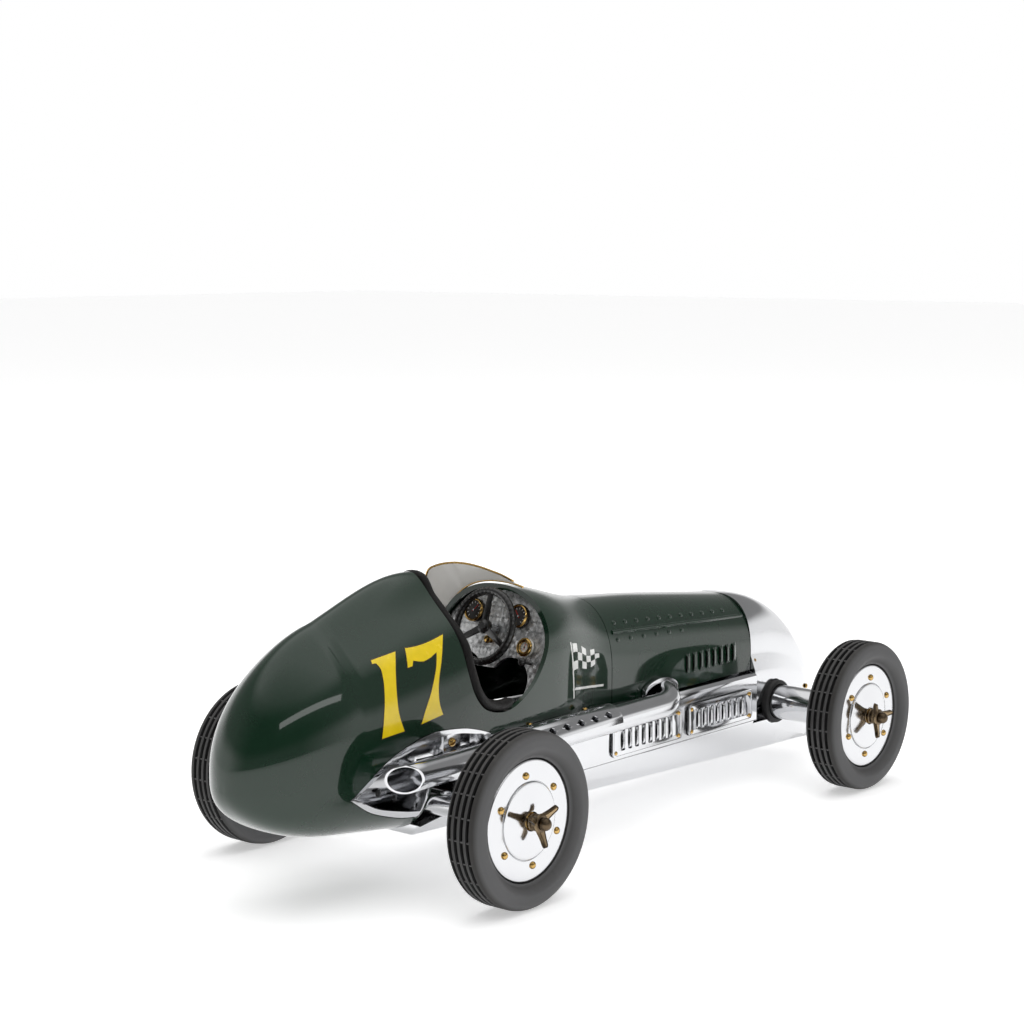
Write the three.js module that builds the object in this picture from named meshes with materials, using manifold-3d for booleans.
// A collector's model of a 1930s single-seat racing car, in millimetres, +Z up, nose towards +X.
// The parts are laid out from the centre of the rear axle: x forward, y to the driver's left, z above
// the axle. The last lines move that layout so that the tyres stand on z = 0 and the car is centred.
import * as THREE from "three";
import { mergeVertices } from "three/addons/utils/BufferGeometryUtils.js";
import Module from "manifold-3d";

const wasm = await Module();
wasm.setup();

// ---------------------------------------------------------------- driving dimensions
const WHEELBASE = 180.7;
const HALF_TRACK = 59; // centre plane to a tyre's outer face
const GAP = 0.3; // between pieces that touch
const RUNNING_GAP = 0.12; // between a turning piece and what it turns on

const TYRE_RADIUS = 25.5; // to the flat of a tread facet
const TYRE_WIDTH = 12.3;
const TYRE_SHOULDER = 2.8;
const TYRE_BEAD_DEPTH = 2.5; // how far the beads sit in from the sidewalls
const TYRE_BEAD_BEVEL = 3;
const TYRE_SIDES = 36;

const DISC_RADIUS = 17.6;
const DISC_WALL = 1;
const DISC_STEP_RADIUS = 11.1;
const DISC_STEP = 0.35;
const DISC_CROWN = 1.2;
const DISC_SIDES = 32;
const AXLE_RADIUS = 1.5;
const AXLE_SIDES = 16;
const BUSH_WALL = 0.9;
const NUT_RADIUS = 2.5;
const NUT_LENGTH = 6.2;
const EAR_COUNT = 3;
const EAR_REACH = 7.8;
const EAR_WIDTH = 2.6;
const EAR_THICKNESS = 1.1;
const EAR_SWEEP = 25; // degrees outwards

const FRONT_FAIRING_RADIUS = 6;
const REAR_FAIRING_RADIUS = 4.2;
const GROMMET_WALL = 1.6;
const GROMMET_WIDTH = 2.4;

const SHELL_WALL = 1.6; // painted castings
const NOSE_WALL = 2;
const TAIL_TIP = -64;
const TAIL_BREAK = -30; // the tail rounds off behind this
const TAIL_TIP_HEIGHT = 11.5;
const COWL_SEAM = 87; // where the bonnet starts
const NOSE_SETBACK = 13.7; // the nose casting starts this far behind the front axle
const NOSE_OVERHANG = 49.3; // from the front axle to the nose tip
const MOUTH_Z = 8.5;
const MOUTH_HALF_WIDTH = 5.5;
const MOUTH_HALF_HEIGHT = 10.5;
const GRILLE_SETBACK = 26;
const GRILLE_BARS = 5;
const BODY_EDGE = 13; // underside of the painted castings
const BODY_UPPER_POWER = 2.3;
const BODY_LOWER_POWER = 2.6;
const RIDGE_WIDTH = 9; // headrest ridge
const RING_POINTS = 30;

const TUB_HALF_WIDTH = 20;
const TUB_FLOOR = -4.2; // lower edge of the tub's sides
const TUB_WALL = 2;
const TUB_REAR = 13;
const LEDGE_DROP = 0.6; // the tub's top lies this far under the painted edge
const PAN_REAR = -3.6;
const PAN_REAR_BOTTOM = -11; // its floor slopes down towards the front
const PAN_FRONT_BOTTOM = -18;
const PAN_HALF_BOTTOM = 14.5;
const PAN_WALL = 1.8;
const PAN_FRONT_SETBACK = 22; // nose tip to the pan's front edge

const PLATE_HEIGHT = 11;
const PLATE_CORNER = 2;
const PLATE_THICKNESS = 0.6;
const PLATE_HEM = 4; // between plates, and at the tub's ends
const PLATE_START = 84;
const SLOTS = 8;
const SLOT_WIDTH = 1.5;
const SLOT_HEIGHT = 7;

const COCKPIT_REAR = 11.5;
const COCKPIT_BOTTOM = 22.5;
const HOOP_FOOT = 34;
const HOOP_TOP = 52;
const TRIM_RADIUS = 1.6;
const DASH_X = 52; // dash panel's face, at the height of the dials
const DASH_Z = 46;
const DASH_RAKE = 18; // degrees, the top leans forwards
const DASH_THICKNESS = 1;
const DASH_FOOT = 22;
const DIAL_RADIUS = 3.1;
const SMALL_DIAL_RADIUS = 2.3;
const DIAL_DEPTH = 1.5;
const BEZEL_WALL = 0.6;
const DIAL_SUNK = 0.5;
const KNEE_RADIUS = 7;
const KNEE_SPREAD = 9.4; // each knee arch's middle, out from the car's middle
const WHEEL_RIM_RADIUS = 11.2; // steering wheel
const WHEEL_RIM_SECTION = 1.25;
const STEERING_GAP = 5.5; // hub centre to the dash
const STEERING_Z = 41.2;
const COLUMN_RADIUS = 1.4;
const SEAT_TOP = -2;
const SCREEN_WALL = 0.8;
const SCREEN_SETBACK = 1; // ahead of the hoop
const SCREEN_RIGHT = 105; // degrees round the section, from the driver's left
const SCREEN_LEFT = 16;
const SCREEN_HEIGHT = 18.6;
const SCREEN_WIRE = 0.4;

const PIPE_RADIUS = 4.15;
const PIPE_WALL = 0.8;
const PIPE_DROP = 1.5; // the pipe's axis below the painted body's edge
const PIPE_Z = BODY_EDGE - PIPE_DROP;
const PIPE_REAR = [-18, -29];
const PIPE_FRONT = [104, -24.6];
const PORT_HALF_LENGTH = 8;
const PORT_HALF_HEIGHT = 3;
const PORT_DEPTH = 1.6;
const PORT_Z = BODY_EDGE + 1.8;
const SHIELD_RADIUS = PIPE_RADIUS + 0.7; // inside of the heat shield
const SHIELD_FROM = 28;
const SHIELD_TO = 76;
const SHIELD_WALL = 0.6;
const SHIELD_HOLES = 6;
const RECESS_DEPTH = 5;
const RECESS_RIM = 2.2;

// x, half width, height of the widest point, shoulder top, bottom, headrest ridge
const STATIONS = [
  [TAIL_BREAK, 21.8, 16.8, 46.6, -7.4, 6.8],
  [0, 24.5, 18.5, 54.3, -11, 9],
  [12, 25, 22.5, 56, -12.5, 8],
  [30, 25, 28.5, 57, -13.5, 4],
  [HOOP_TOP, 24, 32.5, 55.5, -14.5, 0],
  [COWL_SEAM, 18, 24.5, 47.5, -15.5, 0],
  [COWL_SEAM + 33, 17.5, 20.5, 44.3, -16, 0],
  [WHEELBASE - NOSE_SETBACK, 17.1, 18.5, 39, -16.5, 0],
];
const NOSE_START = WHEELBASE - NOSE_SETBACK;
const NOSE_TIP = WHEELBASE + NOSE_OVERHANG;

// ---------------------------------------------------------------- materials
const finish = (color, roughness, metalness) =>
  new THREE.MeshStandardMaterial({ color, roughness, metalness });
const GREEN = finish(0x0f2a19, 0.18, 0.1);
const ALUMINIUM = finish(0xcfd1d4, 0.16, 1);
const BRASS = finish(0xb08a45, 0.28, 1);
const BRONZE = finish(0x6e5a3c, 0.35, 1);
const STEEL = finish(0x9a9da0, 0.3, 1);
const RUBBER = finish(0x4a4a4a, 0.75, 0);
const BLACK = finish(0x171514, 0.5, 0);
const LEATHER = finish(0x2e1c14, 0.55, 0);
const DIAL_BLACK = finish(0x15110e, 0.4, 0);
const DIAL_WHITE = finish(0xece8df, 0.4, 0);
const CLEAR = finish(0xdedad2, 0.08, 0);

// ---------------------------------------------------------------- solids
// A three.js geometry as a manifold-3d solid.
function solid(geometry) {
  const bare = geometry.index ? geometry.clone() : geometry;
  for (const name of Object.keys(bare.attributes))
    if (name !== "position") bare.deleteAttribute(name);
  const merged = mergeVertices(bare, 1e-4);
  return new wasm.Manifold(
    new wasm.Mesh({
      numProp: 3,
      vertProperties: new Float32Array(merged.attributes.position.array),
      triVerts: new Uint32Array(merged.index.array),
    }),
  );
}

function geometryOf(body) {
  const mesh = body.getMesh();
  const stride = mesh.numProp;
  const positions = new Float32Array(mesh.numVert * 3);
  for (let i = 0; i < mesh.numVert; i++)
    positions.set(mesh.vertProperties.subarray(i * stride, i * stride + 3), i * 3);
  const geometry = new THREE.BufferGeometry();
  geometry.setAttribute("position", new THREE.BufferAttribute(positions, 3));
  geometry.setIndex(new THREE.BufferAttribute(new Uint32Array(mesh.triVerts), 1));
  geometry.computeVertexNormals();
  return geometry;
}

const box = (x0, x1, y0, y1, z0, z1) =>
  solid(
    new THREE.BoxGeometry(x1 - x0, y1 - y0, z1 - z0).translate((x0 + x1) / 2, (y0 + y1) / 2, (z0 + z1) / 2),
  );

const outline = (points) => new THREE.Shape(points.map(([a, b]) => new THREE.Vector2(a, b)));

function roundedRectangle(width, height, corner) {
  const shape = new THREE.Shape();
  const a = width / 2;
  const b = height / 2;
  shape.absarc(a - corner, b - corner, corner, 0, Math.PI / 2);
  shape.absarc(-a + corner, b - corner, corner, Math.PI / 2, Math.PI);
  shape.absarc(-a + corner, -b + corner, corner, Math.PI, 1.5 * Math.PI);
  shape.absarc(a - corner, -b + corner, corner, 1.5 * Math.PI, 2 * Math.PI);
  return shape;
}

// A flat shape whose own axes are x and z, extruded from y0 to y1.
function alongY(shape, y0, y1, curveSegments = 6) {
  const settings = { depth: y1 - y0, bevelEnabled: false, curveSegments };
  return solid(new THREE.ExtrudeGeometry(shape, settings).rotateX(Math.PI / 2).translate(0, y1, 0));
}

// A flat shape whose own axes are y and z, extruded from x0 to x1.
function alongX(shape, x0, x1, curveSegments = 6) {
  const settings = { depth: x1 - x0, bevelEnabled: false, curveSegments };
  const turn = new THREE.Matrix4().makeBasis(
    new THREE.Vector3(0, 1, 0),
    new THREE.Vector3(0, 0, 1),
    new THREE.Vector3(1, 0, 0),
  );
  return solid(new THREE.ExtrudeGeometry(shape, settings).applyMatrix4(turn).translate(x0, 0, 0));
}

// A closed [radius, height] profile turned about Y, drawn anticlockwise with the radius to the right.
function turned(profile, sides, phase = 0) {
  const points = [...profile, profile[0]].map(([r, h]) => new THREE.Vector2(r, h));
  return solid(new THREE.LatheGeometry(points, sides, phase));
}

const tubeY = (outer, inner, y0, y1, sides) =>
  turned([[inner, y0], [outer, y0], [outer, y1], [inner, y1]], sides);
const rodY = (radius, y0, y1, sides) => turned([[0, y0], [radius, y0], [radius, y1], [0, y1]], sides);

const shifted = (body, x, y, z) => body.translate([x, y, z]);

// A cut can leave slivers behind: the piece itself is the largest body.
const largest = (body) => body.decompose().sort((a, b) => b.volume() - a.volume())[0];

// Rings of equal length joined into one closed skin, with a fan over each end.
function loft(rings) {
  const count = rings[0].length;
  const positions = [];
  const index = [];
  for (const ring of rings) for (const p of ring) positions.push(...p);
  for (let i = 0; i + 1 < rings.length; i++)
    for (let k = 0; k < count; k++) {
      const a = i * count + k;
      const b = i * count + ((k + 1) % count);
      index.push(a, b, b + count, a, b + count, a + count);
    }
  for (const [ring, base, flip] of [
    [rings[0], 0, true],
    [rings[rings.length - 1], (rings.length - 1) * count, false],
  ]) {
    const centre = [0, 1, 2].map((axis) => ring.reduce((sum, p) => sum + p[axis], 0) / count);
    const hub = positions.length / 3;
    positions.push(...centre);
    for (let k = 0; k < count; k++) {
      const next = (k + 1) % count;
      index.push(hub, base + (flip ? next : k), base + (flip ? k : next));
    }
  }
  const geometry = new THREE.BufferGeometry();
  geometry.setAttribute("position", new THREE.BufferAttribute(new Float32Array(positions), 3));
  geometry.setIndex(index);
  return solid(geometry);
}

// ---------------------------------------------------------------- body surface
// A smooth curve through a table's rows that never overshoots them.
function interpolate(table, column, x) {
  const last = table.length - 1;
  const slope = (i) => (table[i + 1][column] - table[i][column]) / (table[i + 1][0] - table[i][0]);
  const tangent = (i) => {
    if (i === 0) return slope(0);
    if (i === last) return slope(last - 1);
    const a = slope(i - 1);
    const b = slope(i);
    return a * b <= 0 ? 0 : (2 * a * b) / (a + b);
  };
  if (x >= table[last][0]) return table[last][column];
  let i = 0;
  while (x > table[i + 1][0]) i++;
  const width = table[i + 1][0] - table[i][0];
  const t = Math.max(0, (x - table[i][0]) / width);
  const t2 = t * t;
  const t3 = t2 * t;
  return (
    (2 * t3 - 3 * t2 + 1) * table[i][column] +
    (t3 - 2 * t2 + t) * width * tangent(i) +
    (3 * t2 - 2 * t3) * table[i + 1][column] +
    (t3 - t2) * width * tangent(i + 1)
  );
}

// The section of the painted body at x: half width, widest height, top, bottom and ridge.
function bodySection(x) {
  if (x >= TAIL_BREAK) return [1, 2, 3, 4, 5].map((column) => interpolate(STATIONS, column, x));
  const [first, second] = STATIONS;
  const run = (0.9 * (x - first[0])) / (second[0] - first[0]);
  const [width, widest, top, bottom, ridge] = [1, 2, 3, 4, 5].map(
    (column) => first[column] + run * (second[column] - first[column]),
  );
  const closing = Math.sqrt(Math.max(0, 1 - ((TAIL_BREAK - x) / (TAIL_BREAK - TAIL_TIP)) ** 2.3));
  const towardsTip = (z) => TAIL_TIP_HEIGHT + (z - TAIL_TIP_HEIGHT) * closing;
  const crest = 0.7 * ridge * closing;
  return [width * closing, towardsTip(widest), towardsTip(top + ridge) - crest, towardsTip(bottom), crest];
}

const power = (value, exponent) => Math.sign(value) * Math.abs(value) ** exponent;

function bodyRing(x, inset = 0, at = x) {
  const [width, widest, top, bottom, ridge] = bodySection(x);
  const points = [];
  for (let k = 0; k < RING_POINTS; k++) {
    const angle = (2 * Math.PI * (k + 0.5)) / RING_POINTS;
    const upper = angle < Math.PI;
    const exponent = 2 / (upper ? BODY_UPPER_POWER : BODY_LOWER_POWER);
    const y = Math.max(0.05, width - inset) * power(Math.cos(angle), exponent);
    const rise = upper ? top - inset - widest : widest - bottom - inset;
    const crest = upper ? ridge * Math.exp(-1.2 * (y / RIDGE_WIDTH) ** 2) : 0;
    points.push([at, y, widest + Math.max(0.05, rise) * power(Math.sin(angle), exponent) + crest]);
  }
  return points;
}

// Sections close together at the rounded tail, then evenly spaced.
function bodyStations(from, to, step) {
  const places = [];
  const tailSteps = 8;
  if (from < TAIL_BREAK)
    for (let i = tailSteps; i > 0; i--)
      places.push(TAIL_BREAK + (from - TAIL_BREAK) * Math.sin((Math.PI / 2) * (i / tailSteps)));
  const start = Math.max(from, TAIL_BREAK);
  const count = Math.max(1, Math.round((to - start) / step));
  for (let i = 0; i <= count; i++) places.push(start + ((to - start) * i) / count);
  return places;
}

const bodySolid = (from, to, step) => loft(bodyStations(from, to, step).map((x) => bodyRing(x)));

function bodyCore(from, to, step, inset) {
  const start = from < TAIL_BREAK ? from + inset : from;
  return loft(bodyStations(start, to, step).map((x) => bodyRing(x, inset)));
}

// Half the width of the painted body at a place on its side.
function sideAt(x, z) {
  const [width, widest, top, bottom] = bodySection(x);
  const upper = z > widest;
  const share = upper ? (z - widest) / (top - widest) : (widest - z) / (widest - bottom);
  const exponent = upper ? BODY_UPPER_POWER : BODY_LOWER_POWER;
  return width * Math.max(0, 1 - Math.min(1, share) ** exponent) ** (1 / exponent);
}

// ---------------------------------------------------------------- the car
const car = new THREE.Group();
const OUT = 60; // past anything that is cut

function add(name, body, material) {
  const mesh = new THREE.Mesh(geometryOf(body), material);
  mesh.name = name;
  car.add(mesh);
}

// The padded part of the cockpit's edge, seen from the side, from the headrest down and forwards.
const cockpitEdge = () => [
  [COCKPIT_REAR, COCKPIT_BOTTOM + 31],
  [COCKPIT_REAR, COCKPIT_BOTTOM + 22],
  [COCKPIT_REAR, COCKPIT_BOTTOM + 14],
  [COCKPIT_REAR + 1.6, COCKPIT_BOTTOM + 7],
  [COCKPIT_REAR + 6, COCKPIT_BOTTOM + 2],
  [COCKPIT_REAR + 13, COCKPIT_BOTTOM],
  [HOOP_FOOT - 3, COCKPIT_BOTTOM + 0.8],
  [HOOP_FOOT + 5, COCKPIT_BOTTOM + 5],
];

// The whole opening, with the hoop ahead of the driver.
const cockpitOutline = () =>
  outline([
    [COCKPIT_REAR, OUT + 20],
    ...cockpitEdge(),
    [HOOP_FOOT + 11, COCKPIT_BOTTOM + 11.5],
    [HOOP_FOOT + 15.5, COCKPIT_BOTTOM + 20],
    [HOOP_TOP, COCKPIT_BOTTOM + 33],
    [HOOP_TOP + 1, OUT + 20],
  ]);

// The exhaust's opening in the right side of the tail, grown outwards by margin.
const RECESS_CENTRE = [-8, 9];
const recessOutline = (margin) =>
  outline(
    [
      [-34.5, 6.4],
      [-23, 14.8],
      [-13.8, 18.9],
      [-4.3, 21.1],
      [6.7, 20.6],
      [14, 19],
      [20, 17],
      [20, BODY_EDGE - 0.6],
      [PAN_REAR - 1, BODY_EDGE - 0.6],
      [PAN_REAR - 1, -4.6],
      [-13, -3.2],
      [-25.3, 0.9],
    ].map(([x, z]) => {
      const from = [x - RECESS_CENTRE[0], z - RECESS_CENTRE[1]];
      const length = Math.hypot(...from);
      return [x + (from[0] / length) * margin, z + (from[1] / length) * margin];
    }),
  );

const pipeRun = () => {
  const [x0, y0] = PIPE_REAR;
  const [x1, y1] = PIPE_FRONT;
  return { x0, y0, x1, y1, lean: (y1 - y0) / (x1 - x0) };
};

// A plain rod along the exhaust's straight run.
function pipeRod(radius, from, to) {
  const { x0, y0, lean } = pipeRun();
  const yAt = (x) => y0 + (x - x0) * lean;
  const path = new THREE.LineCurve3(
    new THREE.Vector3(from, yAt(from), PIPE_Z),
    new THREE.Vector3(to, yAt(to), PIPE_Z),
  );
  const circle = new THREE.Shape().absarc(0, 0, radius, 0, 2 * Math.PI);
  return solid(new THREE.ExtrudeGeometry(circle, { steps: 1, curveSegments: 8, extrudePath: path }));
}

function buildPaintedShells() {
  const step = 11;
  const tail = bodySolid(TAIL_TIP, COWL_SEAM - GAP / 2, step)
    .subtract(bodyCore(TAIL_TIP, COWL_SEAM + 1, step, SHELL_WALL))
    .subtract(box(PAN_REAR - GAP, COWL_SEAM + 5, -OUT, OUT, -OUT, BODY_EDGE))
    .subtract(alongY(cockpitOutline(), -OUT, OUT))
    .subtract(alongY(recessOutline(GAP), -OUT, 0))
    .subtract(rodY(REAR_FAIRING_RADIUS + GAP, -OUT, OUT, 24))
    .subtract(pipeRod(SHIELD_RADIUS + SHIELD_WALL + GAP, PIPE_REAR[0] - 8, PIPE_FRONT[0]));
  add("tail_shell", largest(tail), GREEN);

  const from = COWL_SEAM + GAP / 2;
  const to = NOSE_START - GAP / 2;
  let bonnet = loft([from, (from + to) / 2, to].map((x) => bodyRing(x)))
    .subtract(loft([from - 1, (from + to) / 2, to + 1].map((x) => bodyRing(x, SHELL_WALL))))
    .subtract(box(from - 1, to + 1, -OUT, OUT, -OUT, BODY_EDGE));
  const louvres = 8;
  const louvrePitch = 3.9;
  const firstLouvre = NOSE_START - 37.5;
  for (let i = 0; i < louvres; i++) {
    const x = firstLouvre + i * louvrePitch;
    bonnet = bonnet.subtract(box(x - 0.65, x + 0.65, -OUT, OUT, 17.6, 24));
  }
  const port = new THREE.Shape().absellipse(0, 0, PORT_HALF_LENGTH, PORT_HALF_HEIGHT, 0, 2 * Math.PI);
  bonnet = bonnet.subtract(shifted(alongY(port, -OUT, 0, 8), PIPE_FRONT[0] + 8, 0, PORT_Z));
  add("bonnet", bonnet, GREEN);
}

// The nose's sections: the bonnet's shape carried forwards, raked and rounded to the tip.
function noseRing(run, inset) {
  const x = NOSE_START + (NOSE_TIP - NOSE_START - inset) * run;
  const share = Math.max(0, run);
  const [width, , top] = bodySection(NOSE_START);
  const closing = (1 - share ** 1.6) ** (1 / 1.6);
  const lip = TUB_FLOOR - 1;
  const roof = lip + (top - lip) * (1 - share ** 2) - inset;
  const floor = lip + inset;
  const middle = (roof + floor) / 2;
  const half = Math.max(0.4, (roof - floor) / 2);
  const points = [];
  for (let k = 0; k < RING_POINTS; k++) {
    const angle = (2 * Math.PI * (k + 0.5)) / RING_POINTS;
    const upper = angle < Math.PI;
    const exponent = upper ? 2 / 2.8 : 2 / 5;
    const y = Math.max(0.4, (width + (upper ? 0 : 2)) * closing - inset) * power(Math.cos(angle), exponent);
    points.push([x, y, middle + half * power(Math.sin(angle), exponent)]);
  }
  return points;
}

function buildNose() {
  const shares = [0, 0.25, 0.45, 0.62, 0.76, 0.87, 0.94, 0.98, 1];
  const skin = loft(shares.map((s) => noseRing(s, 0)));
  const core = loft([-0.02, ...shares.slice(1)].map((s) => noseRing(s, NOSE_WALL)));
  const axleHole = shifted(rodY(FRONT_FAIRING_RADIUS + GROMMET_WALL + GAP, -OUT, OUT, 24), WHEELBASE, 0, 0);
  const mouth = new THREE.Shape().absellipse(0, MOUTH_Z, MOUTH_HALF_WIDTH, MOUTH_HALF_HEIGHT, 0, 2 * Math.PI);
  const nose = skin
    .subtract(core)
    .subtract(box(-OUT, NOSE_START + GAP / 2, -OUT, OUT, -OUT, OUT))
    .subtract(axleHole)
    .subtract(alongX(mouth, NOSE_TIP - GRILLE_SETBACK - 2, NOSE_TIP + 5, 10));
  add("nose_shell", nose, ALUMINIUM);

  // Bars behind the mouth, in a frame that sits inside the shell.
  const frameX = NOSE_TIP - GRILLE_SETBACK;
  const frameOval = (grow) =>
    new THREE.Shape().absellipse(0, MOUTH_Z, MOUTH_HALF_WIDTH + grow, MOUTH_HALF_HEIGHT + grow, 0, 2 * Math.PI);
  const depth = 1.2;
  let grille = alongX(frameOval(-GAP), frameX, frameX + depth, 10).subtract(
    alongX(frameOval(-GAP - 1.1), frameX - 1, frameX + depth + 1, 10),
  );
  for (let i = 0; i < GRILLE_BARS; i++) {
    const y = (i - (GRILLE_BARS - 1) / 2) * (MOUTH_HALF_WIDTH / 3.2);
    const reach = (MOUTH_HALF_HEIGHT - GAP - 0.6) * Math.sqrt(1 - (y / MOUTH_HALF_WIDTH) ** 2);
    grille = grille.add(box(frameX, frameX + depth, y - 0.4, y + 0.4, MOUTH_Z - reach, MOUTH_Z + reach));
  }
  add("grille", grille, STEEL);
}

// Upper face of the pan's sloping floor.
const PAN_FRONT = NOSE_TIP - PAN_FRONT_SETBACK;
function panFloor(x) {
  const share = (x - PAN_REAR) / (PAN_FRONT - PAN_REAR);
  return PAN_REAR_BOTTOM + (PAN_FRONT_BOTTOM - PAN_REAR_BOTTOM) * share + PAN_WALL;
}

function buildTubAndPan() {
  const top = BODY_EDGE - LEDGE_DROP;
  const tubFront = NOSE_START - GAP / 2;
  const inner = 15.5;
  // Each side has a ledge that turns in under the painted body.
  const sides = [-1, 1].map((side) =>
    outline([
      [side * TUB_HALF_WIDTH, TUB_FLOOR],
      [side * TUB_HALF_WIDTH, top - 1],
      [side * (TUB_HALF_WIDTH - 1), top],
      [side * inner, top],
      [side * inner, top - TUB_WALL],
      [side * (TUB_HALF_WIDTH - TUB_WALL), top - TUB_WALL],
      [side * (TUB_HALF_WIDTH - TUB_WALL), TUB_FLOOR],
    ]),
  );
  const rib = box(TUB_REAR, TUB_REAR + TUB_WALL, -inner - 2, inner + 2, TUB_FLOOR, top - TUB_WALL);
  let tub = alongX(sides[0], TUB_REAR, tubFront).add(alongX(sides[1], TUB_REAR, tubFront)).add(rib);
  tub = tub.add(rib.translate([tubFront - TUB_REAR - TUB_WALL, 0, 0]));
  tub = tub
    .subtract(pipeSweep(PIPE_RADIUS + GAP))
    .subtract(pipeRod(SHIELD_RADIUS + SHIELD_WALL + GAP, SHIELD_FROM - GAP, SHIELD_TO + GAP));
  add("body_tub", tub, ALUMINIUM);

  const panTop = TUB_FLOOR - GAP;
  const panFront = PAN_FRONT;
  const trough = (from, to, inset, rise) =>
    loft(
      [from, to].map((x) => {
        const [topHalf, lowHalf] = [TUB_HALF_WIDTH - 0.4 - inset, PAN_HALF_BOTTOM - inset];
        const low = panFloor(x) - PAN_WALL + inset;
        const high = panTop + rise;
        return [[x, lowHalf, low], [x, topHalf, high], [x, -topHalf, high], [x, -lowHalf, low]];
      }),
    );
  const inside = trough(PAN_REAR + PAN_WALL, panFront - PAN_WALL, PAN_WALL, 5);
  const noseFloorGap = box(NOSE_START - 1, panFront + 1, -OUT, OUT, panTop - 0.8 - GAP, OUT);
  const notch = outline([[-9, OUT], [-9, -5], [-2, -8.5], [9, -5.5], [9, OUT]]);
  const pan = trough(PAN_REAR, panFront, 0, 0)
    .subtract(inside)
    .subtract(noseFloorGap)
    .subtract(alongY(notch, -OUT, OUT))
    .subtract(shifted(rodY(FRONT_FAIRING_RADIUS + GROMMET_WALL + GAP, -OUT, OUT, 24), WHEELBASE, 0, 0));
  add("bottom_pan", pan, ALUMINIUM);
}

// Pressed plates with cooling slots, two on each side of the tub.
function buildSidePlates() {
  const room = NOSE_START - PLATE_START - PLATE_HEM;
  const length = (room - PLATE_HEM) / 2;
  const middle = (BODY_EDGE - LEDGE_DROP + TUB_FLOOR) / 2 - 2;
  for (const [sideName, side] of [["right", -1], ["left", 1]])
    for (const [placeName, start] of [["rear", PLATE_START], ["front", PLATE_START + length + PLATE_HEM]]) {
      const near = side * (TUB_HALF_WIDTH + GAP);
      const far = side * (TUB_HALF_WIDTH + GAP + PLATE_THICKNESS);
      const [y0, y1] = [Math.min(near, far), Math.max(near, far)];
      let plate = alongY(roundedRectangle(length, PLATE_HEIGHT, PLATE_CORNER), y0, y1, 2);
      const pitch = (length - 2 * PLATE_HEM) / SLOTS;
      for (let i = 0; i < SLOTS; i++) {
        const x = (i - (SLOTS - 1) / 2) * pitch;
        const [w, h] = [SLOT_WIDTH / 2, SLOT_HEIGHT / 2];
        plate = plate.subtract(box(x - w, x + w, -OUT, OUT, -h, h));
      }
      add("side_plate_" + placeName + "_" + sideName, shifted(plate, start + length / 2, 0, middle), ALUMINIUM);
    }
}

// ---------------------------------------------------------------- wheels and axles
// Each wheel is built with its inner face at y = 0 and its outer face towards +y.
function tyreSolid() {
  const facet = TYRE_RADIUS / Math.cos(Math.PI / TYRE_SIDES);
  const bead = DISC_RADIUS + GAP;
  const half = [
    [bead, TYRE_BEAD_DEPTH],
    [bead + TYRE_BEAD_BEVEL, 0],
    [facet - TYRE_SHOULDER, 0],
    [facet - 0.3 * TYRE_SHOULDER, 0.3 * TYRE_SHOULDER],
    [facet, TYRE_SHOULDER],
  ];
  const mirrored = half.map(([r, o]) => [r, TYRE_WIDTH - o]).reverse();
  return turned([...half, ...mirrored], TYRE_SIDES, Math.PI / TYRE_SIDES);
}

const OUTER_FACE = TYRE_WIDTH - TYRE_BEAD_DEPTH; // of the outer disc
const BUSH_RADIUS = AXLE_RADIUS / Math.cos(Math.PI / AXLE_SIDES) + RUNNING_GAP + BUSH_WALL;

function outerDiscSolid() {
  const bore = BUSH_RADIUS + GAP;
  const inside = OUTER_FACE - DISC_WALL;
  return turned(
    [
      [bore, inside],
      [DISC_RADIUS, inside],
      [DISC_RADIUS, OUTER_FACE - 0.4],
      [DISC_RADIUS - 1, OUTER_FACE],
      [DISC_STEP_RADIUS, OUTER_FACE],
      [DISC_STEP_RADIUS - 0.2, OUTER_FACE + DISC_STEP],
      [bore, OUTER_FACE + DISC_CROWN],
    ],
    DISC_SIDES,
  );
}

function innerDiscSolid() {
  const bore = BUSH_RADIUS + GAP;
  return turned(
    [
      [bore, TYRE_BEAD_DEPTH],
      [DISC_RADIUS, TYRE_BEAD_DEPTH],
      [DISC_RADIUS, TYRE_BEAD_DEPTH + DISC_WALL],
      [bore, TYRE_BEAD_DEPTH + DISC_WALL],
    ],
    DISC_SIDES,
  );
}

const NUT_SEAT = OUTER_FACE + DISC_CROWN + GAP;

// The three-eared nut that caps the hub, tightened to its own angle.
function nutSolid(clocking) {
  const tip = NUT_SEAT + NUT_LENGTH;
  let nut = turned(
    [
      [0, NUT_SEAT],
      [NUT_RADIUS, NUT_SEAT],
      [NUT_RADIUS * 0.8, NUT_SEAT + 0.3 * NUT_LENGTH],
      [NUT_RADIUS, tip - 0.5 * NUT_LENGTH],
      [NUT_RADIUS * 0.8, tip - 0.2 * NUT_LENGTH],
      [0, tip],
    ],
    12,
  );
  for (let i = 0; i < EAR_COUNT; i++) {
    const ear = solid(
      new THREE.BoxGeometry(EAR_REACH, EAR_THICKNESS, EAR_WIDTH)
        .translate(EAR_REACH / 2, 0, 0)
        .rotateZ((EAR_SWEEP * Math.PI) / 180)
        .translate(0, NUT_SEAT + 0.3 * NUT_LENGTH, 0)
        .rotateY((2 * Math.PI * i) / EAR_COUNT + clocking),
    );
    nut = nut.add(ear);
  }
  return nut;
}

const INNER_FACE = HALF_TRACK - TYRE_WIDTH;
const AXLE_END = INNER_FACE + OUTER_FACE - 1;

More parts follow.
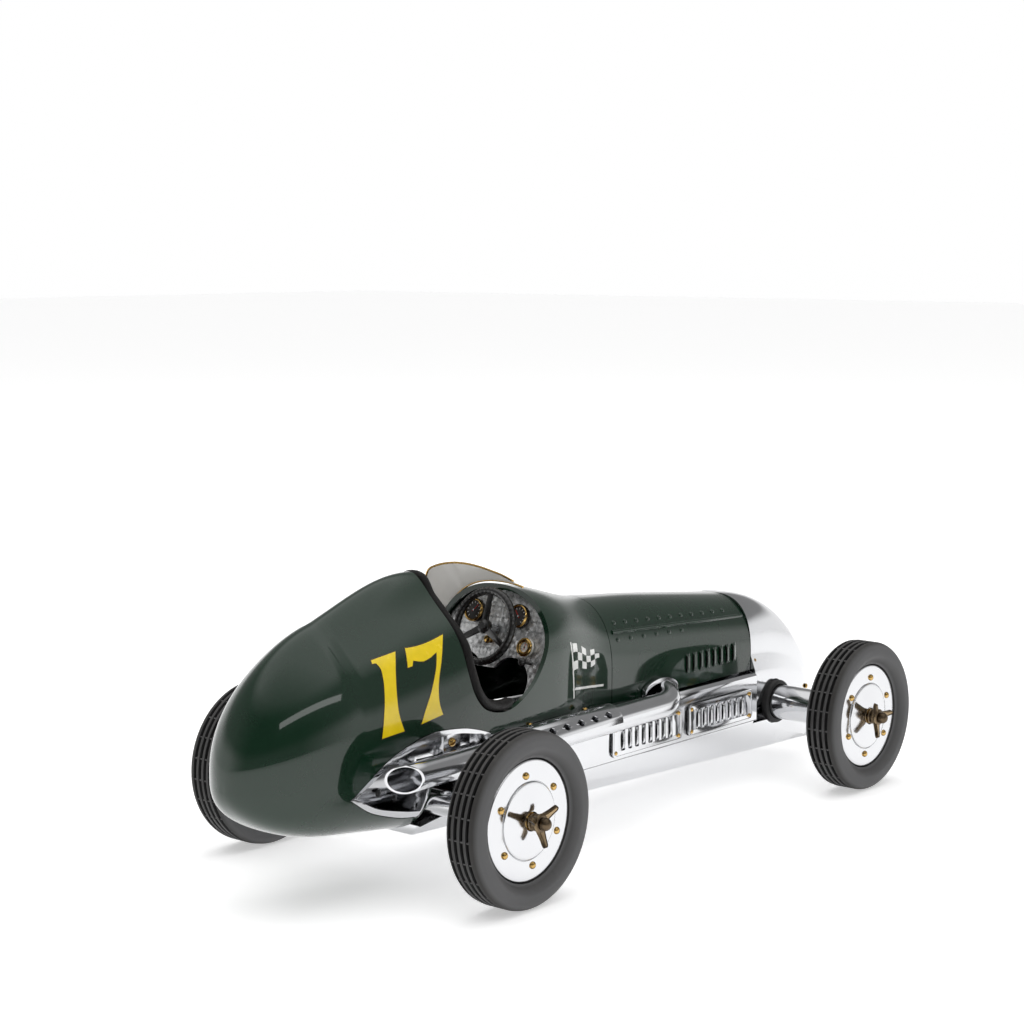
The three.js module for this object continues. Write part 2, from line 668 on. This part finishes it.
function buildWheel(code, x, side, clocking) {
  const parts = [
    ["tyre", tyreSolid(), RUBBER],
    ["outer_disc", outerDiscSolid(), ALUMINIUM],
    ["inner_disc", innerDiscSolid(), ALUMINIUM],
    ["hub_bush", tubeY(BUSH_RADIUS, BUSH_RADIUS - BUSH_WALL, 1, OUTER_FACE + 0.8, AXLE_SIDES), BRASS],
    ["knock_off_nut", nutSolid(clocking), BRONZE],
  ];
  for (const [name, body, material] of parts) {
    const facing = side > 0 ? body : body.rotate([0, 0, 180]);
    add(name + "_" + code, shifted(facing, x, side * INNER_FACE, 0), material);
  }
}

function buildAxles() {
  for (const [name, x] of [["rear", 0], ["front", WHEELBASE]])
    add(name + "_axle", shifted(rodY(AXLE_RADIUS, -AXLE_END, AXLE_END, AXLE_SIDES), x, 0, 0), STEEL);
  for (const [sideName, side] of [["right", -1], ["left", 1]]) {
    const bore = AXLE_RADIUS + GAP;
    const fairing = (radius, from) => {
      const tube = tubeY(radius, bore, from, INNER_FACE - 1, 24);
      return side > 0 ? tube : tube.rotate([0, 0, 180]);
    };
    const front = fairing(FRONT_FAIRING_RADIUS, TUB_HALF_WIDTH - 8);
    add("front_fairing_" + sideName, shifted(front, WHEELBASE, 0, 0), ALUMINIUM);
    add("rear_fairing_" + sideName, fairing(REAR_FAIRING_RADIUS, 14), ALUMINIUM);
    const [near, far] = [TUB_HALF_WIDTH - GROMMET_WIDTH, TUB_HALF_WIDTH + 0.2];
    const ring = tubeY(FRONT_FAIRING_RADIUS + GROMMET_WALL, FRONT_FAIRING_RADIUS + GAP, near, far, 24);
    const grommet = side > 0 ? ring : ring.rotate([0, 0, 180]);
    add("front_grommet_" + sideName, shifted(grommet, WHEELBASE, 0, 0), RUBBER);
  }
  // The bracket that carries the rear axle across the pan.
  const reach = PAN_HALF_BOTTOM - PAN_WALL - GAP;
  const bracket = box(PAN_REAR + PAN_WALL + GAP, 7, -reach, reach, panFloor(PAN_REAR) + GAP, 6).subtract(
    rodY(AXLE_RADIUS + GAP, -OUT, OUT, AXLE_SIDES),
  );
  add("rear_axle_bracket", bracket, BLACK);
}

// ---------------------------------------------------------------- cockpit
function buildCockpit() {
  // Padded edge along the rear and the bottom of the opening, just inside it.
  const edge = cockpitEdge();
  const away = TRIM_RADIUS + GAP;
  const side = edge.slice(0, -1).map(([x, z], i) => {
    const [ax, az] = edge[Math.max(0, i - 1)];
    const [bx, bz] = edge[i + 1];
    const length = Math.hypot(bx - ax, bz - az);
    const inX = -(bz - az) / length;
    const inZ = (bx - ax) / length;
    return [x + inX * away, sideAt(x, z) - SHELL_WALL / 2, z + inZ * away];
  });
  const [, , shoulder, , ridge] = bodySection(COCKPIT_REAR);
  const crownZ = shoulder + ridge - SHELL_WALL / 2;
  const crownX = COCKPIT_REAR + away;
  const crown = [
    [crownX, -6.5, crownZ - 6],
    [crownX, -3, crownZ - 1.2],
    [crownX, 3, crownZ - 1.2],
    [crownX, 6.5, crownZ - 6],
  ];
  const right = side.map(([x, y, z]) => [x, -y, z]).reverse();
  const path = new THREE.CatmullRomCurve3([...right, ...crown, ...side].map((p) => new THREE.Vector3(...p)));
  const section = new THREE.Shape().absarc(0, 0, TRIM_RADIUS, 0, 2 * Math.PI);
  const settings = { steps: 36, curveSegments: 3, extrudePath: path };
  add("cockpit_trim", solid(new THREE.ExtrudeGeometry(section, settings)), BLACK);

  // Everything on the dash is laid out flat, x through the panel, then leant forwards about the dials.
  const lean = new THREE.Matrix4()
    .makeTranslation(DASH_X, 0, DASH_Z)
    .multiply(new THREE.Matrix4().makeRotationY((DASH_RAKE * Math.PI) / 180));
  const leant = (body) => body.transform(lean.elements);
  const knees = [-1, 1].map((s) =>
    alongX(new THREE.Shape().absarc(s * KNEE_SPREAD, -20.5, KNEE_RADIUS, 0, 2 * Math.PI), -2, 5, 8),
  );
  const sheet = box(0, DASH_THICKNESS, -OUT, OUT, DASH_FOOT - DASH_Z, OUT);
  const clear = SHELL_WALL + 0.4;
  const dash = leant(sheet.subtract(knees[0]).subtract(knees[1])).intersect(bodyCore(20, COWL_SEAM, 11, clear));
  add("dash_panel", largest(dash), ALUMINIUM);

  const dials = [
    ["dial_left", 9.2, 0, DIAL_RADIUS, DIAL_BLACK],
    ["dial_right", -9.2, 0, DIAL_RADIUS, DIAL_BLACK],
    ["dial_small", -14.2, -9.3, SMALL_DIAL_RADIUS, DIAL_WHITE],
  ];
  for (const [name, y, z, radius, material] of dials) {
    const wall = new THREE.Shape().absarc(y, z, radius + BEZEL_WALL, 0, 2 * Math.PI);
    const face = new THREE.Shape().absarc(y, z, radius, 0, 2 * Math.PI);
    const front = -GAP - DIAL_DEPTH;
    const sunk = alongX(face, front - 1, front + DIAL_SUNK, 10);
    add(name, leant(alongX(wall, front, -GAP, 10).subtract(sunk)), material);
  }
  const knob = new THREE.Shape().absarc(0.5, -8.6, 1.3, 0, 2 * Math.PI);
  add("starter_knob", leant(alongX(knob, -2.8, -GAP, 5)), BRASS);

  // The steering wheel and the column that it turns on, square to the dash.
  const hubZ = (STEERING_Z - DASH_Z) / Math.cos((DASH_RAKE * Math.PI) / 180);
  const placed = (geometry) => leant(shifted(solid(geometry), -STEERING_GAP, 0, hubZ));
  const bossHalf = 1.3;
  const torus = new THREE.TorusGeometry(WHEEL_RIM_RADIUS, WHEEL_RIM_SECTION, 6, 28).rotateY(Math.PI / 2);
  const boss = new THREE.CylinderGeometry(2.3, 2.3, 2 * bossHalf, 12).rotateZ(Math.PI / 2);
  let wheel = placed(torus).add(placed(boss));
  for (const angle of [90, 210, 330]) {
    const spoke = new THREE.BoxGeometry(1.1, WHEEL_RIM_RADIUS, 2.1).translate(0, WHEEL_RIM_RADIUS / 2, 0);
    wheel = wheel.add(placed(spoke.rotateX((angle * Math.PI) / 180)));
  }
  add("steering_wheel", wheel, BLACK);
  const columnFrom = bossHalf + GAP;
  const columnTo = STEERING_GAP - GAP;
  const column = new THREE.CylinderGeometry(COLUMN_RADIUS, COLUMN_RADIUS, columnTo - columnFrom, 12)
    .rotateZ(Math.PI / 2)
    .translate((columnFrom + columnTo) / 2, 0, 0);
  add("steering_column", placed(column), STEEL);

  // A seat on the pan's floor, with its backrest in front of the opening's rear edge.
  const floorZ = panFloor(COCKPIT_REAR) + GAP;
  const squabTop = SEAT_TOP;
  const halfSeat = PAN_HALF_BOTTOM - PAN_WALL - GAP;
  const squabRear = COCKPIT_REAR + 5;
  const squab = outline([
    [squabRear, floorZ],
    [squabRear + 26, floorZ],
    [squabRear + 30, squabTop],
    [squabRear, squabTop - 2],
  ]);
  add("seat_squab", alongY(squab, -halfSeat, halfSeat), LEATHER);
  const backTop = COCKPIT_BOTTOM + 20;
  const back = outline([
    [squabRear, squabTop - 2 + GAP],
    [squabRear + 5, squabTop - 2 + 0.4 + GAP],
    [squabRear + 1, backTop],
    [squabRear - 2.5, backTop],
  ]);
  add("seat_back", alongY(back, -halfSeat, halfSeat), LEATHER);
}

// A clear sheet that leans back over the hoop, in one brass wire. It sits to the driver's left.
function buildScreen() {
  const foot = HOOP_TOP + SCREEN_SETBACK;
  const [half, widest, top] = bodySection(foot);
  const steps = 20;
  const place = (share) => {
    const angle = (Math.PI / 180) * (SCREEN_RIGHT + (SCREEN_LEFT - SCREEN_RIGHT) * share);
    const exponent = 2 / BODY_UPPER_POWER;
    const y = half * power(Math.cos(angle), exponent);
    const z = widest + (top - widest) * power(Math.sin(angle), exponent);
    const normal = [y / half ** 2, (z - widest) / (top - widest) ** 2];
    const length = Math.hypot(...normal);
    const clear = SCREEN_WIRE + GAP + 0.1;
    const end = Math.max(0, (share - 0.75) / 0.25);
    const height = SCREEN_HEIGHT * Math.max(0.06, share) ** 0.92 * Math.sqrt(Math.max(0.02, 1 - end ** 2));
    const start = [foot, y + (normal[0] / length) * clear, z + (normal[1] / length) * clear];
    const up = [-0.6, 0.12 * share, 0.8];
    return { start, up, height };
  };
  const along = ({ start, up }, distance) => start.map((v, axis) => v + up[axis] * distance);
  const shares = Array.from({ length: steps + 1 }, (_, i) => i / steps);
  const edge = SCREEN_WIRE + GAP;
  const room = (share) => Math.min(place(share).height, place(share + 2 / steps).height) - edge;
  const rings = shares
    .filter((share) => room(share) > edge + 0.6 && share < 1 - 1.5 / steps)
    .map((share) => {
      const spot = place(share);
      const low = along(spot, edge);
      const high = along(spot, room(share));
      const back = ([x, y, z]) => [x - 0.8 * SCREEN_WALL, y, z - 0.6 * SCREEN_WALL];
      return [back(low), back(high), high, low];
    });
  add("windscreen", loft(rings), CLEAR);
  const footLine = shares.map(place).map((spot) => along(spot, 0));
  const topLine = shares.map(place).map((spot) => along(spot, spot.height));
  const ear = [footLine[0][0], footLine[0][1] - 1.6, footLine[0][2] - 0.3];
  const path = new THREE.CatmullRomCurve3(
    [ear, ...footLine, ...topLine.slice(2).reverse()].map((p) => new THREE.Vector3(...p)),
  );
  const wire = new THREE.Shape().absarc(0, 0, SCREEN_WIRE, 0, 2 * Math.PI);
  const settings = { steps: 44, curveSegments: 3, extrudePath: path };
  add("windscreen_frame", solid(new THREE.ExtrudeGeometry(wire, settings)), BRASS);
}

// ---------------------------------------------------------------- exhaust
// The pipe's whole path as a solid rod: an elbow out of the bonnet, then straight to the rear.
function pipeSweep(radius, hole) {
  const { x0, y0, x1, y1, lean } = pipeRun();
  const bodySide = sideAt(x1 - 2, PORT_Z);
  const yAt = (x) => y0 + (x - x0) * lean;
  const path = new THREE.CatmullRomCurve3(
    [
      [x1 + 10.5, -bodySide + 4, PIPE_Z + 2.8],
      [x1 + 10, -bodySide - 1.8, PIPE_Z + 2.8],
      [x1 + 6, yAt(x1 + 6) + 1, PIPE_Z + 1.4],
      [x1, y1, PIPE_Z],
      [x1 - 20, yAt(x1 - 20), PIPE_Z],
      [(x0 + x1) / 2, yAt((x0 + x1) / 2), PIPE_Z],
      [x0 - 6, yAt(x0 - 6), PIPE_Z],
    ].map((p) => new THREE.Vector3(...p)),
    false,
    "chordal",
  );
  const ring = new THREE.Shape().absarc(0, 0, radius, 0, 2 * Math.PI);
  if (hole) ring.holes.push(new THREE.Path().absarc(0, 0, hole, 0, 2 * Math.PI, true));
  return solid(new THREE.ExtrudeGeometry(ring, { steps: 22, curveSegments: 6, extrudePath: path }));
}

function buildExhaust() {
  const { x0, y0, x1, lean } = pipeRun();
  const bodySide = sideAt(x1 - 2, PORT_Z);
  const mitre = solid(
    new THREE.BoxGeometry(30, 60, 30).rotateZ(Math.PI / 4).translate(x0 - 15 * Math.SQRT2, y0 - 4, PIPE_Z),
  );
  const front = box(x1, x1 + 30, -bodySide - PORT_DEPTH - 2 * GAP, OUT, -OUT, OUT);
  const pipe = pipeSweep(PIPE_RADIUS, PIPE_RADIUS - PIPE_WALL).subtract(mitre).subtract(front);
  add("exhaust_pipe", pipe, ALUMINIUM);

  const oval = (grow) =>
    new THREE.Shape().absellipse(0, 0, PORT_HALF_LENGTH + grow, PORT_HALF_HEIGHT + grow, 0, 2 * Math.PI);
  const [near, far] = [-bodySide - PORT_DEPTH - GAP, -bodySide - GAP];
  const collar = alongY(oval(1), near, far, 8)
    .subtract(alongY(oval(-0.4), near - 1, far + 1, 8))
    .translate([x1 + 8, 0, PORT_Z])
    .subtract(box(0, 200, -OUT, OUT, -OUT, BODY_EDGE + GAP));
  add("exhaust_port", collar, ALUMINIUM);

  // Perforated half sleeve over the pipe ahead of the rear tyre.
  const inner = SHIELD_RADIUS;
  const sleeve = pipeRod(inner + SHIELD_WALL, SHIELD_FROM, SHIELD_TO)
    .subtract(pipeRod(inner, SHIELD_FROM - 2, SHIELD_TO + 2))
    .subtract(box(0, 120, -OUT, OUT, -OUT, PIPE_Z));
  let shield = sleeve;
  for (let i = 0; i < SHIELD_HOLES; i++) {
    const x = SHIELD_FROM + 6 + (i * (SHIELD_TO - SHIELD_FROM - 12)) / (SHIELD_HOLES - 1);
    const y = y0 + (x - x0) * lean;
    const hole = new THREE.CylinderGeometry(0.9, 0.9, 20, 8);
    const upright = hole.clone().rotateX(Math.PI / 2).translate(x, y, PIPE_Z + 8);
    const slanted = hole.clone().rotateX((60 * Math.PI) / 180 + Math.PI / 2 + 0.1);
    shield = shield.subtract(solid(upright)).subtract(solid(slanted.translate(x, y - 9, PIPE_Z + 6)));
  }
  add("heat_shield", shield, ALUMINIUM);

  // The dished liner that closes the tail around the pipe.
  const rim = bodySolid(TAIL_TIP, 40, 9).intersect(alongY(recessOutline(0), -OUT, -9));
  const dish = bodyCore(TAIL_TIP, 42, 9, 1.5).intersect(alongY(recessOutline(-RECESS_RIM), -OUT, 0));
  const back = bodyCore(TAIL_TIP, 42, 9, 1.5 + RECESS_DEPTH);
  const hollow = bodyCore(TAIL_TIP, 42, 9, 3 + RECESS_DEPTH);
  const opening = bodySolid(TAIL_TIP, 42, 9).intersect(alongY(recessOutline(-RECESS_RIM), -OUT, 0));
  const liner = rim
    .subtract(opening.subtract(back))
    .subtract(hollow)
    .subtract(dish.subtract(back))
    .subtract(pipeRod(PIPE_RADIUS + GAP, x0 - 30, x1))
    .subtract(rodY(REAR_FAIRING_RADIUS + GAP, -OUT, OUT, 24));
  add("exhaust_recess", largest(liner), ALUMINIUM);
}

buildPaintedShells();
buildNose();
buildTubAndPan();
buildSidePlates();
buildAxles();
for (const [code, x, side, clocking] of [
  ["rear_right", 0, -1, -0.44],
  ["rear_left", 0, 1, 0.4],
  ["front_right", WHEELBASE, -1, 1.2],
  ["front_left", WHEELBASE, 1, 0.9],
])
  buildWheel(code, x, side, clocking);
buildCockpit();
buildScreen();
buildExhaust();

car.position.set(-(TAIL_TIP + NOSE_TIP) / 2, 0, TYRE_RADIUS);
const model = new THREE.Group();
model.add(car);
export default model;
